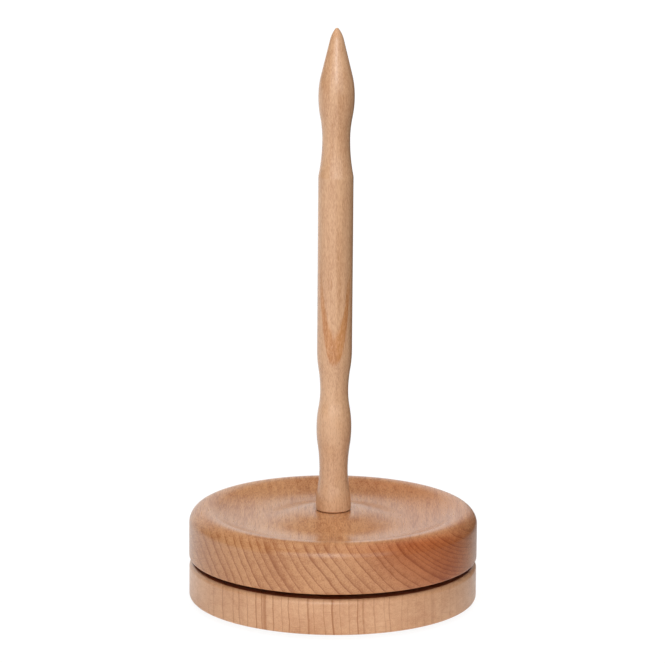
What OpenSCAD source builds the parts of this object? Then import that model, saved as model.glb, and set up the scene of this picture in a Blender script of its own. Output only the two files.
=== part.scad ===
// Yarn dispenser: a dished wooden turntable with a turned spindle, on a ball bearing in a round base.
// Millimetres, +Z up. The origin is where the axis meets the surface that the rubber feet stand on.

/* [Base] */
// Diameter of the base disc
base_d = 139.8; // [120:0.1:180]
// Thickness of the base disc
base_h = 17.6; // [17.2:0.1:30]
// Rounding of the base's upper edge
base_top_round = 2.4; // [0.5:0.1:4]
// Rounding of the base's lower edge
base_low_round = 1.8; // [0.5:0.1:4]
// Width of the ledge that carries the bearing
ledge_w = 2; // [1.5:0.1:3]
// Thickness of the ledge that carries the bearing
ledge_h = 3; // [2:0.1:5]
// Diameter of the recess for the lock nut under the base
nut_recess_d = 24; // [22:0.5:40]

/* [Feet] */
// Number of rubber feet
foot_n = 4; // [3:1:6]
// Diameter of a rubber foot
foot_d = 12; // [8:0.5:18]
// Height of a rubber foot
foot_h = 2; // [1.2:0.1:5]
// Rounding of a foot's lower edge
foot_round = 0.6; // [0.2:0.1:1]
// Distance from a foot's centre to the base's edge
foot_inset = 16; // [12:0.5:30]
// Angle of the first foot from the X axis
foot_turn = 45; // [0:5:90]

/* [Turntable] */
// Diameter of the turntable
turntable_d = 140; // [120:0.1:180]
// Height of the rim's crest above the turntable's underside
turntable_h = 24; // [22:0.1:35]
// Gap between the base and the turntable
disc_gap = 2.4; // [1:0.1:5]
// Rounding of the turntable's lower edge
turntable_low_round = 1; // [0.5:0.1:3]
// Rounding of the rim's outer edge
rim_round = 7; // [3:0.1:10]
// Rounding of the rim's inner edge
rim_inner_round = 14; // [5:0.5:20]

/* [Dish] */
// Diameter of the valley ring, the lowest ring of the dish
valley_d = 75.4; // [50:0.1:90]
// Depth of the valley ring below the rim's crest
valley_depth = 5.3; // [4:0.1:8]
// Radius of the trough between the valley ring and the hill
trough_round = 34; // [10:1:60]
// Radius of the hill's shoulder round the seat
hill_round = 39; // [10:1:60]
// Depth of the spindle's seat below the rim's crest
seat_depth = 0.6; // [0:0.1:2]
// Width of the flat ring that the seat leaves round the spindle's foot
seat_w = 1.8; // [0.5:0.1:4]

/* [Spindle] */
// Height of the spindle above its seat
spindle_h = 236.1; // [180:0.1:320]
// Diameter of the straight stretch
stock_d = 16.94; // [16:0.02:20]
// Diameter of the foot that stands on the seat
spindle_foot_d = 17.2; // [16:0.02:22]
// Rounding of the foot's lower edge
foot_edge_round = 1; // [0.3:0.1:1.5]
// Radius of the foot's swell
foot_swell = 57; // [30:1:70]
// Diameter of the tenon below the foot
tenon_d = 12; // [9:0.1:14]
// Length of the tenon
tenon_h = 16.5; // [10:0.1:17]
// Chamfer at the tenon's end
tenon_chamfer = 0.8; // [0.2:0.1:2]

/* [Spindle coves and beads] */
// Height of the lower neck above the seat
low_neck_z = 20.5; // [18:0.1:24]
// Diameter of the lower neck
low_neck_d = 13.8; // [12:0.02:15]
// Height of the bead's widest ring above the seat
bead_z = 41; // [38:0.1:44]
// Diameter of the bead's widest ring
bead_d = 16.96; // [16:0.02:18]
// Radius of the bead's swell
bead_swell = 58; // [30:1:70]
// Height of the middle neck above the seat
mid_neck_z = 59.4; // [57:0.1:64]
// Diameter of the middle neck
mid_neck_d = 13.6; // [12:0.02:15]
// Height above the seat at which the straight stretch begins
stock_low_z = 79.7; // [77:0.1:90]
// Radius of the swell into the straight stretch's lower end
stock_low_swell = 60; // [30:1:70]
// Distance from the straight stretch's upper end to the tip
stock_top_drop = 72.3; // [68:0.1:78]
// Radius of the swell into the straight stretch's upper end
stock_top_swell = 7; // [3:1:30]
// Distance from the upper neck to the tip
top_neck_drop = 53.7; // [52:0.1:58]
// Diameter of the upper neck
top_neck_d = 13.36; // [12:0.02:15]

/* [Spindle tip] */
// Distance from the bulb's widest ring to the tip
bulb_drop = 32.9; // [32:0.1:36]
// Diameter of the bulb's widest ring
bulb_d = 17.42; // [17:0.02:17.6]
// Radius of the bulb's swell, below its widest ring
bulb_swell = 51; // [30:1:70]
// Slope of the tip's straight side, in degrees from the axis
tip_slope = 13.9; // [13.5:0.1:14.5]
// Radius of the tip's nose
nose_r = 14; // [10:0.5:16]
// Slope at which the nose goes over into the end, in degrees from the axis
nose_slope = 37; // [32:1:45]
// Radius of the tip's very end
tip_r = 1.1; // [0.8:0.1:1.5]

/* [Bearing] */
// Outer diameter of the ball bearing
bearing_d = 22; // [21:0.1:24]
// Bore of the ball bearing, which is also the stud's diameter
bearing_bore = 8; // [7:0.1:8.5]
// Width of the ball bearing
bearing_h = 7; // [6.5:0.1:8]
// Number of balls
ball_n = 7; // [6:1:7]
// Diameter of a ball
ball_d = 3.969; // [3:0.001:4]
// Depth of the ball groove in each ring
race_depth = 0.55; // [0.3:0.05:0.8]
// Height of the ball cage
cage_h = 5; // [4.6:0.1:5.4]
// Thickness of the ball cage's wall
cage_w = 1.5; // [1:0.1:1.8]
// Thickness of a dust shield
shield_t = 0.3; // [0.2:0.05:0.4]
// Depth of a shield's outer face below the bearing's face
shield_sink = 0.1; // [0:0.05:0.15]
// Width of the seat that holds a shield's rim
shield_seat_w = 0.6; // [0.4:0.05:0.8]

/* [Pivot] */
// Diameter of the plate in the turntable's underside
plate_d = 50; // [44:0.5:80]
// Thickness of the plate
plate_t = 2.5; // [2:0.1:3]
// Diameter of the stud's flush head
stud_head_d = 12; // [10:0.1:14]
// Height of the stud's flush head
stud_head_h = 1.5; // [1:0.1:1.8]
// How far the stud stands out of the lock nut
stud_end = 1; // [0.3:0.1:1.1]
// Rim of the inner ring that the spacer and the washer leave free
spacer_inset = 0.15; // [0.05:0.05:0.5]
// Thickness of the washer under the inner ring
washer_h = 1; // [0.5:0.1:1.1]

/* [Plate screws] */
// Number of screws
screw_n = 4; // [3:1:6]
// Diameter of the circle that the screws lie on
screw_circle_d = 38; // [34:0.5:40]
// Diameter of a screw's shank
screw_d = 3; // [2.5:0.1:4]
// Diameter of a screw's head
screw_head_d = 5.6; // [5:0.1:6.4]
// Length of a screw
screw_h = 12; // [8:0.5:15]
// Length of a screw's point
screw_point_h = 3; // [1:0.5:5]
// Angle of the first screw from the X axis
screw_turn = 45; // [0:5:90]
// Length of the cross slot in a screw's head
slot_l = 3; // [2:0.1:4]
// Width of the cross slot
slot_w = 0.7; // [0.4:0.1:1]
// Depth of the cross slot
slot_depth = 0.65; // [0.3:0.05:0.9]

/* [Lock nut] */
// Width of the lock nut across its flats
nut_flats = 13; // [11:0.1:15]
// Height of the nut's hexagon
nut_h = 5.8; // [5:0.1:5.9]
// Chamfer of the nut's corners
nut_chamfer = 0.8; // [0.4:0.1:1]
// Diameter of the round collar that holds the nylon ring
nut_collar_d = 12; // [11:0.1:12.4]
// Height of the round collar
nut_collar_h = 2.2; // [1.5:0.1:2.3]
// Wall of the round collar
nut_collar_w = 0.8; // [0.5:0.1:1]
// Lip that keeps the nylon ring in
nut_lip = 0.4; // [0.2:0.1:0.6]

/* [Fits] */
// Radial clearance of the tenon in its socket
tenon_fit = 0.06; // [0.03:0.01:0.1]
// Free depth under the tenon
socket_spare = 0.5; // [0.2:0.1:1]
// Clearance of the balls in the grooves
race_fit = 0.03; // [0.02:0.01:0.06]
// Clearance of the balls in the cage
cage_fit = 0.03; // [0.02:0.01:0.08]
// Clearance between a shield and the inner ring
shield_fit = 0.15; // [0.1:0.05:0.3]
// Clearance round the plate in its recess
plate_fit = 0.2; // [0.1:0.05:0.5]
// Clearance round a screw's shank in the plate
screw_fit = 0.15; // [0.1:0.05:0.3]

/* [Hidden] */
$fn = 120;
base_z = foot_h;
base_top_z = base_z + base_h;
table_z = base_top_z + disc_gap;
crest_z = table_z + turntable_h;
crest_r = turntable_d / 2 - rim_round;
valley_r = valley_d / 2;
valley_z = crest_z - valley_depth;
wall_slope = 2 * atan(valley_depth / (crest_r - valley_r));
wall_round = (crest_r - valley_r) / sin(wall_slope) - rim_inner_round;
seat_z = crest_z - seat_depth;
seat_r = spindle_foot_d / 2 + seat_w;
// Shortest straight stretch of the hill's slope, which limits the two radii that it joins
slope_min = 1;
hill_run = valley_r - seat_r;
hill_rise = seat_z - valley_z;
hill_square = hill_run * hill_run + hill_rise * hill_rise;
rounds_max = (hill_square - slope_min * slope_min) / (2 * hill_rise);
rounds_share = min(1, rounds_max / (hill_round + trough_round));
hill_r = hill_round * rounds_share;
trough_r = trough_round * rounds_share;
slope_l = sqrt(hill_square - 2 * hill_rise * (hill_r + trough_r));
hill_slope = atan2(hill_r + trough_r, slope_l) - atan2(hill_r + trough_r - hill_rise, hill_run);
tip_z = seat_z + spindle_h;
socket_z = seat_z - tenon_h - socket_spare;

bearing_z = base_top_z - bearing_h;
ball_z = bearing_z + bearing_h / 2;
pitch_r = (bearing_d + bearing_bore) / 4;
groove_r = ball_d / 2 + race_fit;
inner_ring_r = pitch_r - groove_r + race_depth;
outer_ring_r = pitch_r + groove_r - race_depth;
shield_seat_r = outer_ring_r + shield_seat_w;
spacer_r = inner_ring_r - spacer_inset;
stud_r = bearing_bore / 2;
washer_z = bearing_z - washer_h;
hex_z = washer_z - nut_h;
nut_z = hex_z - nut_collar_h;
screw_head_h = (screw_head_d - screw_d) / 2;

// Straight steps that stand for an arc of a profile
arc_steps = 12;
long_arc_steps = 24;
// Length by which a cut runs on past a face
cut = 1;

FEET = [for (i = [1:foot_n]) str("foot_", i)];

beech_base = [0.86, 0.69, 0.52];
beech_table = [0.80, 0.60, 0.42];
beech_spindle = [0.84, 0.68, 0.51];

// Points of an arc in a profile, from one angle to another; with first = 1 it carries on from its start
function arc(x, y, r, from, to, steps, first = 0) = [
    for (i = [first:steps])
        let (a = from + (to - from) * i / steps)
        [x + r * cos(a), y + r * sin(a)]
];

// Radius of the hollow that meets a swell of the given radius, between a neck and a swell as [r, z]
function hollow_r(neck, top, swell) =
    let (rise = top[0] - neck[0])
    (pow(top[1] - neck[1], 2) + rise * rise) / (2 * rise) - swell;

// Hollow and swell from a neck up to a wider ring above it, without the neck's own point
function widening(neck, top, swell) =
    let (
        hollow = hollow_r(neck, top, swell),
        turn = asin((top[1] - neck[1]) / (hollow + swell))
    )
    concat(
        arc(neck[0] + hollow, neck[1], hollow, 180, 180 - turn, arc_steps, 1),
        arc(top[0] - swell, top[1], swell, -turn, 0, arc_steps, 1)
    );

// Swell and hollow from a wider ring up to a neck above it, without the ring's own point
function narrowing(low, neck, swell) =
    let (
        hollow = hollow_r(neck, low, swell),
        turn = asin((neck[1] - low[1]) / (hollow + swell))
    )
    concat(
        arc(low[0] - swell, low[1], swell, 0, turn, arc_steps, 1),
        arc(neck[0] + hollow, neck[1], hollow, 180 + turn, 180, arc_steps, 1)
    );

// Pointed tip above the bulb: swell, straight side, nose and round end, all tangent
function tip_points(bulb) =
    let (
        end = [0, tip_z - tip_r],
        nose = end + (tip_r - nose_r) * [cos(nose_slope), sin(nose_slope)],
        side = nose * [cos(tip_slope), sin(tip_slope)] + nose_r,
        swell = (side - bulb * [cos(tip_slope), sin(tip_slope)]) / (1 - cos(tip_slope))
    )
    concat(
        arc(bulb[0] - swell, bulb[1], swell, 0, tip_slope, arc_steps, 1),
        arc(nose[0], nose[1], nose_r, tip_slope, nose_slope, arc_steps),
        arc(end[0], end[1], tip_r, nose_slope, 90, arc_steps, 1)
    );

// Disc with a rounded lower and upper edge
module rounded_disc(r, h, low_round, top_round) {
    rotate_extrude()
        polygon(concat(
            [[0, 0]],
            arc(r - low_round, low_round, low_round, -90, 0, arc_steps),
            arc(r - top_round, h - top_round, top_round, 0, 90, arc_steps),
            [[0, h]]
        ));
}

module tube(inner_r, outer_r, z, h) {
    translate([0, 0, z])
        rotate_extrude()
            polygon([[inner_r, 0], [outer_r, 0], [outer_r, h], [inner_r, h]]);
}

module round_copies(count, r, start = 0) {
    for (i = [0:count - 1])
        rotate([0, 0, start + i * 360 / count])
            translate([r, 0, 0])
                children();
}

module base_disc() {
    color(beech_base)
        difference() {
            translate([0, 0, base_z])
                rounded_disc(base_d / 2, base_h, base_low_round, base_top_round);
            translate([0, 0, bearing_z])
                cylinder(r = bearing_d / 2, h = bearing_h + cut);
            translate([0, 0, base_z])
                cylinder(r = bearing_d / 2 - ledge_w, h = base_h);
            translate([0, 0, base_z - cut])
                cylinder(r = nut_recess_d / 2, h = base_h - bearing_h - ledge_h + cut);
        }
}

module turntable() {
    color(beech_table)
        difference() {
            rotate_extrude()
                polygon(concat(
                    [[0, table_z]],
                    arc(turntable_d / 2 - turntable_low_round, table_z + turntable_low_round,
                        turntable_low_round, -90, 0, arc_steps),
                    arc(crest_r, crest_z - rim_round, rim_round, 0, 90, long_arc_steps),
                    arc(crest_r, crest_z - rim_inner_round, rim_inner_round, 90, 90 + wall_slope,
                        arc_steps, 1),
                    arc(valley_r, valley_z + wall_round, wall_round, 270 + wall_slope, 270,
                        long_arc_steps, 1),
                    arc(valley_r, valley_z + trough_r, trough_r, 270, 270 - hill_slope, arc_steps, 1),
                    arc(seat_r, seat_z - hill_r, hill_r, 90 - hill_slope, 90, arc_steps),
                    [[0, seat_z]]
                ));
            translate([0, 0, socket_z])
                cylinder(r = tenon_d / 2 + tenon_fit, h = seat_z - socket_z + cut);
            translate([0, 0, table_z - cut])
                cylinder(r = plate_d / 2 + plate_fit, h = plate_t + cut);
            round_copies(screw_n, screw_circle_d / 2, screw_turn)
                screw_blank();
        }
}

module spindle() {
    foot_r = spindle_foot_d / 2;
    foot_top = [foot_r, seat_z + foot_edge_round];
    low_neck = [low_neck_d / 2, seat_z + low_neck_z];
    bead = [bead_d / 2, seat_z + bead_z];
    mid_neck = [mid_neck_d / 2, seat_z + mid_neck_z];
    stock_low = [stock_d / 2, seat_z + stock_low_z];
    stock_top = [stock_d / 2, tip_z - stock_top_drop];
    top_neck = [top_neck_d / 2, tip_z - top_neck_drop];
    bulb = [bulb_d / 2, tip_z - bulb_drop];
    color(beech_spindle)
        rotate_extrude()
            polygon(concat(
                [
                    [0, seat_z - tenon_h],
                    [tenon_d / 2 - tenon_chamfer, seat_z - tenon_h],
                    [tenon_d / 2, seat_z - tenon_h + tenon_chamfer],
                    [tenon_d / 2, seat_z]
                ],
                arc(foot_r - foot_edge_round, foot_top[1], foot_edge_round, -90, 0, arc_steps),
                narrowing(foot_top, low_neck, foot_swell),
                widening(low_neck, bead, bead_swell),
                narrowing(bead, mid_neck, bead_swell),
                widening(mid_neck, stock_low, stock_low_swell),
                [stock_top],
                narrowing(stock_top, top_neck, stock_top_swell),
                widening(top_neck, bulb, bulb_swell),
                tip_points(bulb)
            ));
}

// Ring groove that the balls run in
module ball_groove() {
    rotate_extrude()
        translate([pitch_r, ball_z])
            circle(r = groove_r);
}

// Seats for the two shields, at the outer ring's two faces
module shield_seats() {
    seat_h = shield_t + shield_sink;
    for (z = [bearing_z - cut, bearing_z + bearing_h - seat_h])
        translate([0, 0, z])
            cylinder(r = shield_seat_r, h = seat_h + cut);
}

module bearing_outer_ring() {
    color("silver")
        difference() {
            tube(outer_ring_r, bearing_d / 2, bearing_z, bearing_h);
            ball_groove();
            shield_seats();
        }
}

module bearing_inner_ring() {
    color("silver")
        difference() {
            tube(stud_r, inner_ring_r, bearing_z, bearing_h);
            ball_groove();
        }
}

module bearing_balls() {
    color("gainsboro")
        round_copies(ball_n, pitch_r)
            translate([0, 0, ball_z])
                sphere(d = ball_d);
}

module bearing_cage() {
    color("saddlebrown")
        difference() {
            tube(pitch_r - cage_w / 2, pitch_r + cage_w / 2, ball_z - cage_h / 2, cage_h);
            round_copies(ball_n, pitch_r)
                translate([0, 0, ball_z])
                    sphere(r = ball_d / 2 + cage_fit);
        }
}

module bearing_shield(z) {
    color("dimgray")
        tube(inner_ring_r + shield_fit, shield_seat_r, z, shield_t);
}

module bearing_upper_shield() {
    bearing_shield(bearing_z + bearing_h - shield_sink - shield_t);
}

module bearing_lower_shield() {
    bearing_shield(bearing_z + shield_sink);
}

module pivot_plate() {
    color("lightsteelblue")
        difference() {
            translate([0, 0, table_z])
                cylinder(r = plate_d / 2, h = plate_t);
            translate([0, 0, table_z - cut])
                cylinder(r = stud_r, h = plate_t + 2 * cut);
            translate([0, 0, table_z + plate_t - stud_head_h])
                cylinder(r = stud_head_d / 2, h = stud_head_h + cut);
            round_copies(screw_n, screw_circle_d / 2, screw_turn) {
                screw_blank();
                translate([0, 0, table_z])
                    cylinder(r = screw_d / 2 + screw_fit, h = plate_t + cut);
            }
        }
}

module pivot_stud() {
    color("silver")
        union() {
            translate([0, 0, nut_z - stud_end])
                cylinder(r = stud_r, h = table_z + plate_t - nut_z + stud_end);
            translate([0, 0, table_z + plate_t - stud_head_h])
                cylinder(r = stud_head_d / 2, h = stud_head_h);
        }
}

// Countersunk screw that points up, with its head flush in the plate
module screw_blank() {
    translate([0, 0, table_z])
        rotate_extrude()
            polygon([
                [0, 0],
                [screw_head_d / 2, 0],
                [screw_d / 2, screw_head_h],
                [screw_d / 2, screw_h - screw_point_h],
                [0, screw_h]
            ]);
}

module plate_screws() {
    color("silver")
        round_copies(screw_n, screw_circle_d / 2, screw_turn)
            difference() {
                screw_blank();
                for (turn = [0, 90])
                    rotate([0, 0, turn])
                        translate([-slot_l / 2, -slot_w / 2, table_z - cut])
                            cube([slot_l, slot_w, cut + slot_depth]);
            }
}

module gap_spacer() {
    color("silver")
        tube(stud_r, spacer_r, base_top_z, disc_gap);
}

module shim_washer() {
    color("silver")
        tube(stud_r, spacer_r, washer_z, washer_h);
}

module lock_nut() {
    corner_r = nut_flats / 2 / cos(30);
    color("silver")
        difference() {
            union() {
                intersection() {
                    translate([0, 0, hex_z])
                        cylinder(r = corner_r, h = nut_h, $fn = 6);
                    translate([0, 0, hex_z])
                        rotate_extrude()
                            polygon([
                                [0, 0],
                                [corner_r - nut_chamfer, 0],
                                [corner_r + nut_chamfer, nut_chamfer],
                                [corner_r + nut_chamfer, nut_h - nut_chamfer],
                                [corner_r - nut_chamfer, nut_h],
                                [0, nut_h]
                            ]);
                }
                translate([0, 0, nut_z])
                    cylinder(r = nut_collar_d / 2, h = nut_collar_h);
            }
            translate([0, 0, nut_z - cut])
                cylinder(r = stud_r, h = nut_h + nut_collar_h + 2 * cut);
            translate([0, 0, nut_z + nut_lip])
                cylinder(r = nut_collar_d / 2 - nut_collar_w, h = nut_collar_h - nut_lip);
            translate([0, 0, nut_z - cut])
                cylinder(r = nut_collar_d / 2 - nut_collar_w - nut_lip, h = nut_lip + cut);
        }
}

module nut_collar() {
    color("royalblue")
        tube(stud_r, nut_collar_d / 2 - nut_collar_w, nut_z + nut_lip, nut_collar_h - nut_lip);
}

module foot(i) {
    color("dimgray")
        rotate([0, 0, foot_turn + (i - 1) * 360 / foot_n])
            translate([base_d / 2 - foot_inset, 0, 0])
                rotate_extrude()
                    polygon(concat(
                        [[0, 0]],
                        arc(foot_d / 2 - foot_round, foot_round, foot_round, -90, 0, arc_steps),
                        [[foot_d / 2, foot_h], [0, foot_h]]
                    ));
}

base_disc();
turntable();
spindle();
bearing_outer_ring();
bearing_inner_ring();
bearing_balls();
bearing_cage();
bearing_upper_shield();
bearing_lower_shield();
pivot_plate();
pivot_stud();
plate_screws();
gap_spacer();
shim_washer();
lock_nut();
nut_collar();
for (i = [1:foot_n])
    foot(i);
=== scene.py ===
import math

import bpy
from mathutils import Matrix, Vector

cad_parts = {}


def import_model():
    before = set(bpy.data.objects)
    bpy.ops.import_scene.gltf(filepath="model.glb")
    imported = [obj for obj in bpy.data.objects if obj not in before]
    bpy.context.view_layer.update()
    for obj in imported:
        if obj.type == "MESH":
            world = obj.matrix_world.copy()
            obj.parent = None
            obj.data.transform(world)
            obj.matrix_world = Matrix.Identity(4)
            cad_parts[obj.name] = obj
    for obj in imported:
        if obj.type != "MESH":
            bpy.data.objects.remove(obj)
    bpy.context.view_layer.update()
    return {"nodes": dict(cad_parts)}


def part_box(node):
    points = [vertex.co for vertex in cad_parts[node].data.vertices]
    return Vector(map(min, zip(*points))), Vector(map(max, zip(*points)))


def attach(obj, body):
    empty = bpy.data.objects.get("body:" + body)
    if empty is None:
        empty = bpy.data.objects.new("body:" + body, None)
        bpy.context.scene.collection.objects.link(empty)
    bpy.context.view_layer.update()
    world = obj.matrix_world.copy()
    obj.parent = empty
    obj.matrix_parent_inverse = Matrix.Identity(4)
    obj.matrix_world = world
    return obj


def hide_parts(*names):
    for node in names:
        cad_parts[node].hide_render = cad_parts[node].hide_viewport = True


# A beech yarn dispenser: a dished turntable with a turned spindle, on a round base.
# Lengths are in millimetres up to the meshes and in the materials, and in metres after that.
MM = 0.001

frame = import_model()


def corners(node):
    """Lowest and highest corner of a CAD node, in millimetres."""
    low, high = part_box(node)
    return low / MM, high / MM


# Heights and radii from the frame
base_low, base_high = corners("base_disc")
table_low, table_high = corners("turntable")
pin_low, pin_high = corners("spindle")
BASE_R = base_high.x
BASE_Z = base_low.z
BASE_TOP = base_high.z
TABLE_R = table_high.x
TABLE_Z = table_low.z
CREST_Z = table_high.z
TIP_Z = pin_high.z
TENON_Z = pin_low.z

# Base
BASE_TOP_ROUND = 2.4
BASE_LOW_ROUND = 1.8
RECESS_R = 12.0
LEDGE_R = 9.0
LEDGE_H = 3.0
BEARING_R = 11.0
BEARING_H = 7.0
EDGE_BREAK = 0.3

# Turntable
TABLE_LOW_ROUND = 1.0
RIM_ROUND = 7.0
RIM_INNER_ROUND = 14.0
VALLEY_R = 37.7
VALLEY_DEPTH = 5.3
TROUGH_ROUND = 34.0
HILL_ROUND = 39.0
SEAT_DEPTH = 0.6
SEAT_W = 1.8
PLATE_R = 25.2
PLATE_T = 2.5
SOCKET_R = 6.06
SOCKET_SPARE = 0.5

# Spindle
TENON_R = 6.0
TENON_CHAMFER = 0.8
FOOT_R = 8.6
FOOT_EDGE_ROUND = 1.0
FOOT_SWELL = 57.0
LOW_NECK = (6.9, 20.5)
BEAD = (8.48, 41.0)
BEAD_SWELL = 58.0
MID_NECK = (6.8, 59.4)
STOCK_R = 8.47
STOCK_LOW = 79.7
STOCK_LOW_SWELL = 60.0
STOCK_TOP_DROP = 72.3
STOCK_TOP_SWELL = 7.0
TOP_NECK_DROP = (6.68, 53.7)
BULB_DROP = (8.71, 32.9)
BULB_SWELL = 51.0
TIP_SLOPE = 13.9
NOSE_R = 14.0
NOSE_SLOPE = 37.0
TIP_R = 1.1

# Stud
STUD_R = 4.0
STUD_HEAD_R = 6.0
STUD_HEAD_H = 1.5
THREAD_PITCH = 1.25
THREAD_DEPTH = 0.6

# Degrees from point to point along the arcs of the profiles
ARC_STEP = 2.5
BREAK_STEP = 30
DISH_STEP = 0.8
FOOT_STEP = 9
PIN_STEP = 1
NOSE_STEP = 2
TIP_STEP = 5

# Turned meshes: sides of a ring, sharpest angle that is shaded smooth, and the radius that counts as none
DISC_SIDES = 192
PIN_SIDES = 72
STUD_SIDES = 48
SHARP_ANGLE = 30
ON_AXIS = 1e-6

# Camera, fitted to the ellipses of the discs
CAMERA_BACK = 2.0
CAMERA_HEIGHT = 0.5773
CAMERA_PITCH = 12.5
CAMERA_ROLL = 0.45
CAMERA_SIDE = -0.00104
CAMERA_LENS = 230.1
CAMERA_SENSOR = 36
CAMERA_REACH = 50

# Beech, the same for the three pieces. Triples are sizes across, across and along the grain, in millimetres,
# and pairs are where something starts and where it is full.
# The end grain starts by the share of a face's direction that runs along the grain
END_GRAIN = (0.18, 0.65)

# Growth rings: how far they drift, in millimetres, how fast their widths change from ring to ring,
# where in a ring its dark part and its line start and end, and how much of them the long grain shows
SLOW_DRIFT = (18, 18, 160)
SLOW_DRIFT_BY = 2.0
QUICK_DRIFT = (3.5, 3.5, 50)
QUICK_DRIFT_BY = 0.5
WIDTH_CHANGE = 0.9
LATE_START = 0.3
LINE_START = (0.8, 0.93)
RING_END = 0.97
FLAT_RINGS = 0.14

# Fibres, clouds and rays; a share is how much of the tone between light and dark comes from something
COARSE_FIBRE = (2.2, 2.2, 34)
COARSE_SHARE = 0.5
CLOUD = (22, 22, 70)
CLOUD_SHARE = 0.5
RING_SHARE = 0.06
TONES = (0.2, 1.0)
RAY_REACH = 14.0
RAY_CHOICE = (0.35, 0.8)
RAY_EDGE = (0.14, 0.36)

# Tinted wood: how much red the long grain shows, and the wavy edges and the fibres of a zone
FLAT_RED = 0.25
ZONE_WAVER = (2.5, 2.5, 16)
ZONE_WAVER_BY = 0.7
ZONE_NEAR = (-0.2, 0.4)
ZONE_FAR = (-0.5, 0.2)
ZONE_FIBRES = (2.6, -0.3)

# Lacquer: what the pores do to its roughness, and how pores and ring lines stand out or lie sunk in it
PORE_ROUGH = 0.08
PORE_RELIEF = 0.5
LINE_RELIEF = -0.6
RELIEF_STRENGTH = 0.12
RELIEF_DEPTH = 0.00008
LACQUER_IOR = 1.5

# Painted shade: the colour, as a share of the lacquered wood's, that darkens the faces in the gap and the
# lower edge of the spindle's foot
PAINTED_SHADE_TINT = (0.42, 0.15, 0.06, 1)

# Metals, plastics and rubber: fineness in waves per metre, depth in metres
BRUSHED_SCALE = 5000.0
BRUSHED_DEPTH = 0.00002
PATCH_SCALE = 900.0
WORN_SHARE = 0.12
DUST_SCALE = 260.0
DUST_SHARE = 0.5
SKIN_SHARE = 0.2
SKIN_RELIEF = 0.4

# Studio, in metres; the fade of the backdrop is in sines of elevation
FLOOR_HALF = 6.0
LAMP_AIM = 0.08
SHADOW_NEAR = 0.15
SHADOW_FAR = 0.5
SHADOW_SHARE = 0.12
BACKDROP_TURN = 195.0
BACKDROP_EDGE = (0.72, 0.96)
BACKDROP_FADE = (0.46, 0.58)
# From FLOOR_EDGE on to the right the floor is painted dark: painted shade that gloss and bounce light see;
# for the camera it starts FLOOR_SEEN further right
FLOOR_EDGE = (0.05, 0.21)
FLOOR_SEEN = 0.19
FLOOR_GLOW = 1.05
FLOOR_WHITE = (0.9, 0.9, 0.9, 1)
FLOOR_PAINTED_SHADE = (0.12, 0.12, 0.12, 1)
SIDE_LEFT = 0.04
SIDE_RIGHT = 0.08
SIDE_FADE = (0.0, 0.7)

# Lamps: name, width, height, azimuth, elevation, distance, radiance, and whether gloss shows them
PANELS = [
    ("key", 2.8, 1.35, -15, 15.5, 2.6, 2.06, True),
    ("core", 1.0, 1.05, -3, 26, 2.5, 3.4, True),
    ("fill", 1.35, 1.35, 31, 15.5, 2.6, 1.6, True),
    ("overhead", 3.0, 3.0, 0, 89, 2.4, 2.48, False),
    ("underneath", 2.0, 2.0, 0, -89, 2.4, 1.5, False),
]


def arc(x, z, r, start, end, first=0, step=ARC_STEP):
    """Points of a profile's arc, in degrees; with first = 1 it carries on from its start."""
    count = max(2, math.ceil(abs(end - start) / step))
    angles = [math.radians(start + (end - start) * i / count) for i in range(first, count + 1)]
    return [(x + r * math.cos(a), z + r * math.sin(a)) for a in angles]


def hollow_radius(neck, ring, swell):
    """Radius of the hollow that meets a swell, between a neck and a wider ring."""
    rise = ring[0] - neck[0]
    return ((ring[1] - neck[1]) ** 2 + rise ** 2) / (2 * rise) - swell


def widening(neck, ring, swell):
    """Hollow and swell from a neck up to a wider ring above it."""
    hollow = hollow_radius(neck, ring, swell)
    turn = math.degrees(math.asin((ring[1] - neck[1]) / (hollow + swell)))
    return (arc(neck[0] + hollow, neck[1], hollow, 180, 180 - turn, 1, PIN_STEP)
            + arc(ring[0] - swell, ring[1], swell, -turn, 0, 1, PIN_STEP))


def narrowing(ring, neck, swell):
    """Swell and hollow from a wider ring up to a neck above it."""
    hollow = hollow_radius(neck, ring, swell)
    turn = math.degrees(math.asin((neck[1] - ring[1]) / (hollow + swell)))
    return (arc(ring[0] - swell, ring[1], swell, 0, turn, 1, PIN_STEP)
            + arc(neck[0] + hollow, neck[1], hollow, 180 + turn, 180, 1, PIN_STEP))


def tip_points(bulb):
    """Swell, straight side, nose and round end above the bulb, all tangent."""
    slope = math.radians(TIP_SLOPE)
    nose_angle = math.radians(NOSE_SLOPE)
    end_z = TIP_Z - TIP_R
    nose = ((TIP_R - NOSE_R) * math.cos(nose_angle), end_z + (TIP_R - NOSE_R) * math.sin(nose_angle))
    side = nose[0] * math.cos(slope) + nose[1] * math.sin(slope) + NOSE_R
    swell = (side - bulb[0] * math.cos(slope) - bulb[1] * math.sin(slope)) / (1 - math.cos(slope))
    return (arc(bulb[0] - swell, bulb[1], swell, 0, TIP_SLOPE, 1, PIN_STEP)
            + arc(nose[0], nose[1], NOSE_R, TIP_SLOPE, NOSE_SLOPE, 0, NOSE_STEP)
            + arc(0, end_z, TIP_R, NOSE_SLOPE, 90, 1, TIP_STEP))


def base_profile():
    """The base's cut face, with its bearing seat, ledge and nut recess."""
    seat_z = BASE_TOP - BEARING_H
    ledge_z = seat_z - LEDGE_H
    e = EDGE_BREAK
    return (arc(BASE_R - BASE_LOW_ROUND, BASE_Z + BASE_LOW_ROUND, BASE_LOW_ROUND, -90, 0)
            + arc(BASE_R - BASE_TOP_ROUND, BASE_TOP - BASE_TOP_ROUND, BASE_TOP_ROUND, 0, 90)
            + arc(BEARING_R + e, BASE_TOP - e, e, 90, 180, 0, BREAK_STEP)
            + [(BEARING_R, seat_z), (LEDGE_R, seat_z), (LEDGE_R, ledge_z), (RECESS_R, ledge_z)]
            + arc(RECESS_R + e, BASE_Z + e, e, 180, 270, 0, BREAK_STEP))


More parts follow.
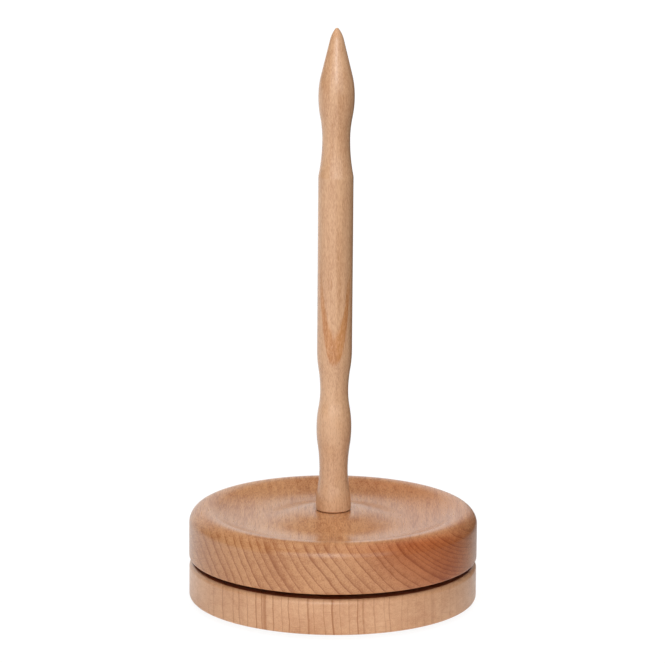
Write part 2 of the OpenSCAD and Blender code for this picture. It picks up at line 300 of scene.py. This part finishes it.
def turntable_profile():
    """The turntable's cut face: plate recess, wall, rim, dish, seat and spindle socket."""
    crest_r = TABLE_R - RIM_ROUND
    valley_z = CREST_Z - VALLEY_DEPTH
    seat_z = CREST_Z - SEAT_DEPTH
    seat_r = FOOT_R + SEAT_W
    # Two tangent arcs go down from the crest to the valley
    run = crest_r - VALLEY_R
    slope = 2 * math.degrees(math.atan(VALLEY_DEPTH / run))
    wall_round = run / math.sin(math.radians(slope)) - RIM_INNER_ROUND
    # The trough's arc and the hill's arc, with a straight side between them, rise to the seat
    rounds = HILL_ROUND + TROUGH_ROUND
    out, up = VALLEY_R - seat_r, seat_z - valley_z
    straight = math.sqrt(out ** 2 + up ** 2 - 2 * up * rounds)
    hill = math.degrees(math.atan2(rounds, straight) - math.atan2(rounds - up, out))
    e = EDGE_BREAK
    return ([(0, TABLE_Z + PLATE_T), (PLATE_R, TABLE_Z + PLATE_T)]
            + arc(PLATE_R + e, TABLE_Z + e, e, 180, 270, 0, BREAK_STEP)
            + arc(TABLE_R - TABLE_LOW_ROUND, TABLE_Z + TABLE_LOW_ROUND, TABLE_LOW_ROUND, -90, 0)
            + arc(crest_r, CREST_Z - RIM_ROUND, RIM_ROUND, 0, 90)
            + arc(crest_r, CREST_Z - RIM_INNER_ROUND, RIM_INNER_ROUND, 90, 90 + slope, 1)
            + arc(VALLEY_R, valley_z + wall_round, wall_round, 270 + slope, 270, 1, DISH_STEP)
            + arc(VALLEY_R, valley_z + TROUGH_ROUND, TROUGH_ROUND, 270, 270 - hill, 1, DISH_STEP)
            + arc(seat_r, seat_z - HILL_ROUND, HILL_ROUND, 90 - hill, 90, 0, DISH_STEP)
            + [(SOCKET_R, seat_z), (SOCKET_R, TENON_Z - SOCKET_SPARE), (0, TENON_Z - SOCKET_SPARE)])


def stud_profile():
    """The stud: thread grooves up to the plate, then the flush head."""
    low, high = corners("pivot_stud")
    root = STUD_R - THREAD_DEPTH
    points = [(0, low.z), (root, low.z)]
    turns = int((high.z - STUD_HEAD_H - low.z) / THREAD_PITCH)
    for i in range(turns):
        z = low.z + (i + 0.5) * THREAD_PITCH
        points += [(STUD_R, z), (root, z + THREAD_PITCH / 2)]
    return points + [(STUD_R, high.z - STUD_HEAD_H), (STUD_HEAD_R, high.z - STUD_HEAD_H),
                     (STUD_HEAD_R, high.z), (0, high.z)]


def spindle_profile():
    """The spindle's outline from its tenon to its tip."""
    seat_z = CREST_Z - SEAT_DEPTH

    def above(neck):
        return (neck[0], seat_z + neck[1])

    def below(neck):
        return (neck[0], TIP_Z - neck[1])

    foot_top = (FOOT_R, seat_z + FOOT_EDGE_ROUND)
    stock_low = (STOCK_R, seat_z + STOCK_LOW)
    stock_top = (STOCK_R, TIP_Z - STOCK_TOP_DROP)
    bulb = below(BULB_DROP)
    return ([(0, TENON_Z), (TENON_R - TENON_CHAMFER, TENON_Z)]
            + [(TENON_R, TENON_Z + TENON_CHAMFER), (TENON_R, seat_z)]
            + arc(FOOT_R - FOOT_EDGE_ROUND, foot_top[1], FOOT_EDGE_ROUND, -90, 0, 0, FOOT_STEP)
            + narrowing(foot_top, above(LOW_NECK), FOOT_SWELL)
            + widening(above(LOW_NECK), above(BEAD), BEAD_SWELL)
            + narrowing(above(BEAD), above(MID_NECK), BEAD_SWELL)
            + widening(above(MID_NECK), stock_low, STOCK_LOW_SWELL)
            + [stock_top]
            + narrowing(stock_top, below(TOP_NECK_DROP), STOCK_TOP_SWELL)
            + widening(below(TOP_NECK_DROP), bulb, BULB_SWELL)
            + tip_points(bulb))


def lathe(name, profile, sides, closed):
    """A turned piece. A closed profile is a ring's cut face; an open one starts and ends on the axis."""
    points = []
    rings = []
    for r, z in profile:
        if r < ON_AXIS:
            rings.append([len(points)])
            points.append((0, 0, z * MM))
            continue
        rings.append(list(range(len(points), len(points) + sides)))
        for i in range(sides):
            a = 2 * math.pi * i / sides
            points.append((r * math.cos(a) * MM, r * math.sin(a) * MM, z * MM))
    faces = []
    pairs = list(zip(rings, rings[1:]))
    if closed:
        pairs.append((rings[-1], rings[0]))
    for low, high in pairs:
        for i in range(sides):
            j = (i + 1) % sides
            if len(low) == 1:
                faces.append((low[0], high[j], high[i]))
            elif len(high) == 1:
                faces.append((low[i], low[j], high[0]))
            else:
                faces.append((low[i], low[j], high[j], high[i]))
    mesh = bpy.data.meshes.new(name)
    mesh.from_pydata(points, [], faces)
    mesh.shade_smooth()
    mesh.set_sharp_from_angle(angle=math.radians(SHARP_ANGLE))
    piece = bpy.data.objects.new(name, mesh)
    bpy.context.scene.collection.objects.link(piece)
    return piece


def add(tree, kind, inputs, output=0, **settings):
    """Adds a node; an input is a number, a colour or another node's output."""
    node = tree.nodes.new("ShaderNode" + kind)
    for key, value in settings.items():
        setattr(node, key, value)
    for key, value in inputs.items():
        if isinstance(value, bpy.types.NodeSocket):
            tree.links.new(value, node.inputs[key])
        else:
            node.inputs[key].default_value = value
    return node.outputs[output]


def add_split(tree, vector):
    """The three parts of a vector, or of a colour."""
    node = tree.nodes.new("ShaderNodeSeparateXYZ")
    tree.links.new(vector, node.inputs[0])
    return list(node.outputs)


def calc(tree, operation, a, b=0.0, c=0.0):
    """Works out an operation on up to three values."""
    return add(tree, "Math", {0: a, 1: b, 2: c}, operation=operation)


def smooth(tree, value, low, high):
    """0 below low, 1 above high, smooth between."""
    return add(tree, "MapRange", {"Value": value, "From Min": low, "From Max": high},
               interpolation_type="SMOOTHSTEP")


def drop(tree, value, low, high):
    """1 below low, 0 above high, smooth between."""
    return calc(tree, "SUBTRACT", 1.0, smooth(tree, value, low, high))


def length(tree, a, b):
    """Length of the two sides of a right angle taken together."""
    squares = calc(tree, "ADD", calc(tree, "MULTIPLY", a, a), calc(tree, "MULTIPLY", b, b))
    return calc(tree, "SQRT", squares)


def mix(tree, factor, a, b, blend="MIX"):
    """Colour a, or b where factor is 1."""
    return add(tree, "Mix", {0: factor, 6: a, 7: b}, 2, data_type="RGBA", blend_type=blend)


def principled(material):
    """The material's shader, with everything else in its tree cleared."""
    material.use_nodes = True
    tree = material.node_tree
    tree.nodes.clear()
    shader = tree.nodes.new("ShaderNodeBsdfPrincipled")
    out = tree.nodes.new("ShaderNodeOutputMaterial")
    tree.links.new(shader.outputs[0], out.inputs[0])
    return tree, shader


def join(tree, value, shader, socket):
    """Gives a value to one of the shader's sockets."""
    tree.links.new(value, shader.inputs[socket])


def rgb(red, green, blue):
    """A colour written as 0 to 255 in sRGB, as the shader's linear colour."""
    def linear(c):
        c /= 255
        return c / 12.92 if c <= 0.04045 else ((c + 0.055) / 1.055) ** 2.4
    return (linear(red), linear(green), linear(blue), 1.0)


def dimmed(tree, tint, noise, share):
    """A colour that a noise dims unevenly, by share at most."""
    dim = calc(tree, "MULTIPLY_ADD", noise, share, 1 - share / 2)
    grey = add(tree, "CombineColor", {0: dim, 1: dim, 2: dim})
    return mix(tree, 1.0, tint, grey, "MULTIPLY")


def emboss(tree, shader, height, strength, depth):
    """Relief on the skin, with its depth in metres."""
    normal = add(tree, "Bump", {"Height": height, "Strength": strength, "Distance": depth})
    join(tree, normal, shader, "Normal")


def beech(name, grain, heart, spacing, light, dark, line, rough, uneven, late, lines, fleck,
          sway=(0, 0, 1), lift=(0, 0, 1), dense=(0, 0), fade=(0, 0, 1, 0), fibre=(0.45, 9.0, 0.8), pores=1.0,
          red=None, zone=None, painted_shade=None):
    """Lacquered beech.

    grain is the axis along which the fibres run, and heart the centre of the growth rings across it.
    spacing is the width of a ring, and uneven how much their widths vary.
    light and dark are the colours of the wood, and line that of the line at the end of a ring.
    late and lines are the strengths of a ring's dark part and of its line, and
    fade = (centre, start, end, share) fades both away from a place.
    sway and lift = (length, start, end) bend the rings between two places, across and along the grain.
    Rings less than dense[0] from the heart lie closer together.
    fibre and fleck are the width, length and strength of the fibres and of the rays, and pores is how much
    the fibres show in the lacquer. red = (near, far, colour) tints the wood towards the heart, and
    zone = (near, far, start, end, colour) the wood between two rings, which fades from start to end along
    the grain. painted_shade = (1 or -1, start, end) paints shade on the faces that look up or down, by the
    share of their direction that does; it stands in for the shade in the gap and under the spindle's foot.
    """
    material = bpy.data.materials.new(name)
    tree, shader = principled(material)
    order = {"y": (0, 2, 1), "z": (0, 1, 2)}[grain]
    place = add_split(tree, add(tree, "TexCoord", {}, "Object"))
    facing = add_split(tree, add(tree, "TexCoord", {}, "Normal"))
    a, b, g = (calc(tree, "MULTIPLY", place[k], 1 / MM) for k in order)
    end_grain = smooth(tree, calc(tree, "ABSOLUTE", facing[order[2]]), *END_GRAIN)

    def scaled(values, sizes):
        """A place in the wood, with each of its values divided by a size."""
        parts = [calc(tree, "DIVIDE", value, size) for value, size in zip(values, sizes)]
        return add(tree, "CombineXYZ", dict(enumerate(parts)))

    def noise(sizes, detail, roughness=0.5):
        """Noise around one half, stretched to sizes across, across and along the grain."""
        return add(tree, "TexNoise", {"Vector": scaled((a, b, g), sizes), "Scale": 1.0, "Detail": detail,
                                      "Roughness": roughness})

    # Growth rings: each goes from light early wood to darker late wood, and ends in a thin line
    da = calc(tree, "SUBTRACT", a, heart[0])
    db = calc(tree, "SUBTRACT", b, heart[1])
    bent = calc(tree, "MULTIPLY_ADD", smooth(tree, a, sway[1], sway[2]), sway[0], length(tree, da, db))
    bent = calc(tree, "MULTIPLY_ADD", smooth(tree, g, lift[1], lift[2]), lift[0], bent)
    drift = calc(tree, "MULTIPLY", noise(QUICK_DRIFT, 1), QUICK_DRIFT_BY)
    drift = calc(tree, "MULTIPLY_ADD", noise(SLOW_DRIFT, 1), SLOW_DRIFT_BY, drift)
    depth = calc(tree, "ADD", bent, drift)
    close = calc(tree, "MAXIMUM", calc(tree, "SUBTRACT", dense[0], depth), 0.0)
    ring = calc(tree, "MULTIPLY_ADD", close, -dense[1], calc(tree, "DIVIDE", depth, spacing))
    width = add(tree, "TexNoise", {"W": ring, "Scale": WIDTH_CHANGE, "Detail": 1.0}, noise_dimensions="1D")
    ring = calc(tree, "MULTIPLY_ADD", width, uneven, ring)
    part = calc(tree, "FRACT", ring)
    shade = add(tree, "TexWhiteNoise", {"W": calc(tree, "FLOOR", ring)}, noise_dimensions="1D")
    away = smooth(tree, calc(tree, "ABSOLUTE", calc(tree, "SUBTRACT", a, fade[0])), fade[1], fade[2])
    shown = calc(tree, "SUBTRACT", 1.0, calc(tree, "MULTIPLY", away, fade[3]))
    shown = calc(tree, "MULTIPLY", shown, calc(tree, "MULTIPLY_ADD", end_grain, 1 - FLAT_RINGS, FLAT_RINGS))
    ending = drop(tree, part, RING_END, 1)
    late_wood = calc(tree, "MULTIPLY", smooth(tree, part, LATE_START, 1.0), ending)
    late_wood = calc(tree, "MULTIPLY", late_wood, shown)
    ridge = calc(tree, "MULTIPLY", smooth(tree, part, *LINE_START), ending)
    ridge = calc(tree, "MULTIPLY", ridge, calc(tree, "MULTIPLY_ADD", shade, 0.5, 0.5))
    ridge = calc(tree, "MULTIPLY", ridge, shown)

    # Fibres and cloudy patches
    coarse = noise(COARSE_FIBRE, 3, 0.6)
    fine = noise((fibre[0], fibre[0], fibre[1]), 3, 0.7)
    cloud = noise(CLOUD, 1)

    # Rays: thin plates that run out from the heart
    angle = calc(tree, "MULTIPLY", calc(tree, "ARCTAN2", db, da), math.hypot(*heart))
    cells = tree.nodes.new("ShaderNodeTexVoronoi")
    cells.inputs["Scale"].default_value = 1.0
    tree.links.new(scaled((depth, angle, g), (RAY_REACH, fleck[0], fleck[1])), cells.inputs["Vector"])
    chosen = smooth(tree, add_split(tree, cells.outputs["Color"])[0], *RAY_CHOICE)
    ray = calc(tree, "MULTIPLY", drop(tree, cells.outputs["Distance"], *RAY_EDGE), chosen)

    # Colour
    streaks = calc(tree, "MULTIPLY_ADD", fine, fibre[2], -0.5 * fibre[2])
    streaks = calc(tree, "MULTIPLY_ADD", coarse, COARSE_SHARE, streaks)
    streaks = calc(tree, "SUBTRACT", streaks, COARSE_SHARE / 2)
    streaks = calc(tree, "MULTIPLY", streaks, calc(tree, "MULTIPLY_ADD", end_grain, -0.5, 1.5))
    tone = calc(tree, "MULTIPLY_ADD", cloud, CLOUD_SHARE, calc(tree, "ADD", streaks, COARSE_SHARE / 2))
    darker = calc(tree, "MULTIPLY_ADD", shade, RING_SHARE, calc(tree, "MULTIPLY", late_wood, late))
    tone = calc(tree, "ADD", tone, darker)
    colour = mix(tree, smooth(tree, tone, *TONES), light, dark)
    colour = mix(tree, calc(tree, "MULTIPLY", ridge, lines), colour, line)
    colour = mix(tree, calc(tree, "MULTIPLY", ray, fleck[2]), colour, line)
    if red:
        near = drop(tree, depth, red[0], red[1])
        near = calc(tree, "MULTIPLY", near, calc(tree, "MULTIPLY_ADD", end_grain, 1 - FLAT_RED, FLAT_RED))
        colour = mix(tree, near, colour, red[2], "MULTIPLY")
    if zone:
        edge = calc(tree, "SUBTRACT", bent, ZONE_WAVER_BY / 2)
        edge = calc(tree, "MULTIPLY_ADD", noise(ZONE_WAVER, 2), ZONE_WAVER_BY, edge)
        inside = calc(tree, "SUBTRACT", smooth(tree, edge, zone[0] + ZONE_NEAR[0], zone[0] + ZONE_NEAR[1]),
                      smooth(tree, edge, zone[1] + ZONE_FAR[0], zone[1] + ZONE_FAR[1]))
        inside = calc(tree, "MULTIPLY", inside, drop(tree, g, zone[2], zone[3]))
        inside = calc(tree, "MULTIPLY", inside, calc(tree, "MULTIPLY_ADD", fine, *ZONE_FIBRES))
        colour = mix(tree, inside, colour, zone[4], "MULTIPLY")
    # Painted shade: faces that look up or down are darkened, for the shade in the gap between the discs and
    # under the spindle's foot
    if painted_shade:
        painted_shade_mask = smooth(tree, calc(tree, "MULTIPLY", facing[2], painted_shade[0]), painted_shade[1], painted_shade[2])
        colour = mix(tree, painted_shade_mask, colour, PAINTED_SHADE_TINT, "MULTIPLY")
    join(tree, colour, shader, "Base Color")

    # Lacquer
    gloss = calc(tree, "MULTIPLY_ADD", fine, PORE_ROUGH * pores, rough - PORE_ROUGH * pores / 2)
    join(tree, gloss, shader, "Roughness")
    shader.inputs["IOR"].default_value = LACQUER_IOR
    sunk = calc(tree, "MULTIPLY", ridge, LINE_RELIEF)
    relief = calc(tree, "ADD", calc(tree, "MULTIPLY", fine, PORE_RELIEF * pores), sunk)
    emboss(tree, shader, relief, RELIEF_STRENGTH, RELIEF_DEPTH)
    return material


def metal(name, tint, rough, brushed, mottled=0.0):
    """Bare or plated steel; brushed is the strength of the fine rings that turning or pressing left on it."""
    material = bpy.data.materials.new(name)
    tree, shader = principled(material)
    place = add(tree, "TexCoord", {}, "Object")
    x, y, z = add_split(tree, place)
    rings = add(tree, "CombineXYZ", {0: length(tree, x, y), 1: z})
    lines = add(tree, "TexNoise", {"Vector": rings, "Scale": BRUSHED_SCALE, "Detail": 2.0})
    patches = add(tree, "TexNoise", {"Vector": place, "Scale": PATCH_SCALE, "Detail": 3.0, "Roughness": 0.6})
    join(tree, dimmed(tree, tint, patches, mottled), shader, "Base Color")
    shader.inputs["Metallic"].default_value = 1.0
    worn = calc(tree, "MULTIPLY_ADD", lines, 0.5 * brushed, rough - 0.25 * brushed)
    join(tree, calc(tree, "MULTIPLY_ADD", patches, WORN_SHARE, worn), shader, "Roughness")
    emboss(tree, shader, lines, brushed, BRUSHED_DEPTH)
    return material


def moulded(name, tint, rough, grain_size, grain_depth):
    """Moulded plastic or rubber with a fine uneven skin."""
    material = bpy.data.materials.new(name)
    tree, shader = principled(material)
    place = add(tree, "TexCoord", {}, "Object")
    skin = add(tree, "TexNoise", {"Vector": place, "Scale": 1 / (grain_size * MM), "Detail": 3.0,
                                  "Roughness": 0.6})
    dust = add(tree, "TexNoise", {"Vector": place, "Scale": DUST_SCALE, "Detail": 2.0})
    join(tree, dimmed(tree, tint, dust, DUST_SHARE), shader, "Base Color")
    join(tree, calc(tree, "MULTIPLY_ADD", skin, SKIN_SHARE, rough - SKIN_SHARE / 2), shader, "Roughness")
    emboss(tree, shader, skin, SKIN_RELIEF, grain_depth * MM)
    return material


def dress(piece, material, body, node):
    """Gives a piece its material and body, in the place of a CAD node, and hides that node."""
    piece.data.materials.clear()
    piece.data.materials.append(material)
    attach(piece, body)
    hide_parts(node)


# The last argument of each beech paints shade: on the base's top and the turntable's underside, seen only in
# the gap between them, and on the lower edge of the spindle's foot
base_beech = beech("lacquered_beech_base", "y", (260, 16), 4.0,
                   rgb(210, 165, 128), rgb(178, 125, 87), rgb(146, 86, 42), 0.29,
                   uneven=1.15, late=0.05, lines=0.75, fleck=(0.5, 4.0, 0.3),
                   fade=(-14, 22, 56, 0.65), painted_shade=(1, 0.93, 0.999))
table_beech = beech("lacquered_beech_turntable", "y", (101.5, 99.5), 3.6,
                    rgb(196, 145, 102), rgb(153, 95, 57), rgb(124, 62, 28), 0.285,
                    uneven=0.65, late=0.22, lines=0.6, fleck=(0.5, 9.0, 0.12),
                    sway=(7.7, -42, 24), dense=(97, 0.3), fibre=(0.5, 9.0, 1.2),
                    red=(88, 128, (0.84, 0.5, 0.36, 1)), painted_shade=(-1, 0.8, 0.99))
pin_beech = beech("lacquered_beech_spindle", "z", (0, 60), 3.0,
                  rgb(217, 174, 137), rgb(184, 134, 97), rgb(134, 80, 46), 0.2,
                  uneven=1.2, late=0.0, lines=0.0, fleck=(0.4, 2.0, 0.3),
                  lift=(5.4, 95, 180), fibre=(0.34, 2.2, 1.0), pores=0.2,
                  zone=(69.12, 70.98, 140, 178, (0.87, 0.67, 0.46, 1)), painted_shade=(-1, 0.3, 0.85))
bearing_steel = metal("ground_steel", (0.56, 0.56, 0.55, 1), 0.22, 0.3)
ball_steel = metal("polished_steel", (0.66, 0.66, 0.66, 1), 0.06, 0.0)
shield_steel = metal("pressed_steel", (0.42, 0.42, 0.41, 1), 0.35, 0.5, 0.2)
zinc_steel = metal("zinc_plate", (0.6, 0.62, 0.66, 1), 0.34, 0.25, 0.35)
cage_polymer = moulded("cage_polymer", (0.09, 0.045, 0.02, 1), 0.5, 0.3, 0.02)
nylon = moulded("blue_nylon", (0.02, 0.09, 0.36, 1), 0.38, 0.25, 0.01)
rubber = moulded("foot_rubber", (0.022, 0.022, 0.022, 1), 0.75, 0.2, 0.04)

FINISHES = {
    bearing_steel: ["bearing_outer_ring", "bearing_inner_ring"],
    ball_steel: ["bearing_balls"],
    shield_steel: ["bearing_upper_shield", "bearing_lower_shield"],
    zinc_steel: ["pivot_plate", "plate_screws", "gap_spacer", "shim_washer", "lock_nut"],
    cage_polymer: ["bearing_cage"],
    nylon: ["nut_collar"],
    rubber: ["foot_1", "foot_2", "foot_3", "foot_4"],
}
for finish, names in FINISHES.items():
    for name in names:
        materials = frame["nodes"][name].data.materials
        materials.clear()
        materials.append(finish)

base = lathe("turned_base", base_profile(), DISC_SIDES, True)
dress(base, base_beech, "stand", "base_disc")
table = lathe("turned_turntable", turntable_profile(), DISC_SIDES, False)
dress(table, table_beech, "rotor", "turntable")
pin = lathe("turned_spindle", spindle_profile(), PIN_SIDES, False)
dress(pin, pin_beech, "peg", "spindle")
stud = lathe("threaded_stud", stud_profile(), STUD_SIDES, False)
dress(stud, zinc_steel, "rotor", "pivot_stud")


def seen_ray(tree):
    """1 on the rays that see the background: from the camera, off gloss and through glass."""
    path = tree.nodes.new("ShaderNodeLightPath")
    return calc(tree, "MAXIMUM", path.outputs["Is Camera Ray"],
                calc(tree, "MAXIMUM", path.outputs["Is Glossy Ray"], path.outputs["Is Transmission Ray"]))


def floor_material():
    """White floor that keeps the object's soft shadow, with painted shade to its right that gloss and bounce
    light see, and can be looked and lit through from below.
    """
    material = bpy.data.materials.new("floor_white")
    material.use_nodes = True
    tree = material.node_tree
    tree.nodes.clear()
    out = tree.nodes.new("ShaderNodeOutputMaterial")
    place = add(tree, "TexCoord", {}, "Object")
    camera_ray = add(tree, "LightPath", {}, "Is Camera Ray")
    # Painted shade: to the right the floor turns dark for every ray, and further right for the camera's, so
    # gloss and bounce light see a shaded floor there
    right = calc(tree, "MULTIPLY_ADD", camera_ray, -FLOOR_SEEN, add_split(tree, place)[0])
    beyond = smooth(tree, right, *FLOOR_EDGE)
    diffuse = add(tree, "BsdfDiffuse", {"Color": mix(tree, beyond, FLOOR_WHITE, FLOOR_PAINTED_SHADE)})
    lit = calc(tree, "MAXIMUM", calc(tree, "SUBTRACT", 1.0, beyond), camera_ray)
    glow = add(tree, "Emission", {"Color": (1, 1, 1, 1), "Strength": calc(tree, "MULTIPLY", lit, FLOOR_GLOW)})
    distance = add(tree, "VectorMath", {0: place}, "Value", operation="LENGTH")
    far = smooth(tree, distance, SHADOW_NEAR, SHADOW_FAR)
    glowing = calc(tree, "MAXIMUM", far, calc(tree, "MULTIPLY", camera_ray, 1 - SHADOW_SHARE))
    white = add(tree, "MixShader", {0: glowing, 1: diffuse, 2: glow})
    shown = add(tree, "MixShader", {0: seen_ray(tree), 1: diffuse, 2: white})
    from_below = add(tree, "NewGeometry", {}, "Backfacing")
    open_ray = calc(tree, "MAXIMUM", from_below, add(tree, "LightPath", {}, "Is Shadow Ray"))
    clear = add(tree, "BsdfTransparent", {})
    both = add(tree, "MixShader", {0: open_ray, 1: shown, 2: clear})
    tree.links.new(both, out.inputs[0])
    return material


def world():
    """A white backdrop behind the object, up to the dark ceiling, and dim sides; all white to the camera."""
    studio_world = bpy.data.worlds.new("studio")
    bpy.context.scene.world = studio_world
    studio_world.use_nodes = True
    tree = studio_world.node_tree
    tree.nodes.clear()
    out = tree.nodes.new("ShaderNodeOutputWorld")
    x, y, z = add_split(tree, add(tree, "TexCoord", {}, "Generated"))
    level = add(tree, "CombineXYZ", {0: x, 1: y})
    level = add(tree, "VectorMath", {0: level}, "Vector", operation="NORMALIZE")
    turn = math.radians(BACKDROP_TURN)
    middle = (math.sin(turn), -math.cos(turn), 0)
    toward = add(tree, "VectorMath", {0: level, 1: middle}, "Value", operation="DOT_PRODUCT")
    behind = smooth(tree, toward, *BACKDROP_EDGE)
    side = smooth(tree, calc(tree, "MULTIPLY", x, -1.0), *SIDE_FADE)
    side = calc(tree, "MULTIPLY_ADD", side, SIDE_LEFT - SIDE_RIGHT, SIDE_RIGHT)
    backdrop = calc(tree, "MULTIPLY", behind, drop(tree, z, *BACKDROP_FADE))
    strength = calc(tree, "MAXIMUM", backdrop, side)
    strength = calc(tree, "MAXIMUM", strength, add(tree, "LightPath", {}, "Is Camera Ray"))
    light = add(tree, "Background", {"Color": (1, 1, 1, 1), "Strength": strength})
    tree.links.new(light, out.inputs[0])


def panel(name, wide, high, azimuth, elevation, reach, radiance, mirrored):
    """A soft box that faces the object. Azimuth 0 is the camera's side and 90 the right."""
    lamp = bpy.data.lights.new(name, "AREA")
    lamp.shape = "RECTANGLE"
    lamp.size = wide
    lamp.size_y = high
    lamp.energy = radiance * math.pi * wide * high
    item = bpy.data.objects.new(name, lamp)
    a = math.radians(azimuth)
    e = math.radians(elevation)
    way = Vector((math.cos(e) * math.sin(a), -math.cos(e) * math.cos(a), math.sin(e)))
    item.location = Vector((0, 0, LAMP_AIM)) + way * reach
    item.rotation_mode = "QUATERNION"
    item.rotation_quaternion = (-way).to_track_quat("-Z", "Y")
    item.visible_camera = False
    item.visible_glossy = mirrored
    bpy.context.scene.collection.objects.link(item)


def studio():
    """The floor and the lamps."""
    mesh = bpy.data.meshes.new("floor")
    s = FLOOR_HALF
    mesh.from_pydata([(-s, -s, 0), (s, -s, 0), (s, s, 0), (-s, s, 0)], [], [(0, 1, 2, 3)])
    mesh.materials.append(floor_material())
    floor = bpy.data.objects.new("floor", mesh)
    bpy.context.scene.collection.objects.link(floor)
    for row in PANELS:
        panel(*row)


def camera():
    """The camera, fitted to the photograph."""
    data = bpy.data.cameras.new("camera")
    data.lens = CAMERA_LENS
    data.sensor_width = CAMERA_SENSOR
    data.clip_end = CAMERA_REACH
    item = bpy.data.objects.new("camera", data)
    item.matrix_world = (Matrix.Translation((CAMERA_SIDE, -CAMERA_BACK, CAMERA_HEIGHT))
                         @ Matrix.Rotation(math.radians(90 - CAMERA_PITCH), 4, "X")
                         @ Matrix.Rotation(math.radians(CAMERA_ROLL), 4, "Z"))
    bpy.context.scene.collection.objects.link(item)
    bpy.context.scene.camera = item


world()
studio()
camera()
bpy.context.scene.view_settings.view_transform = "Standard"
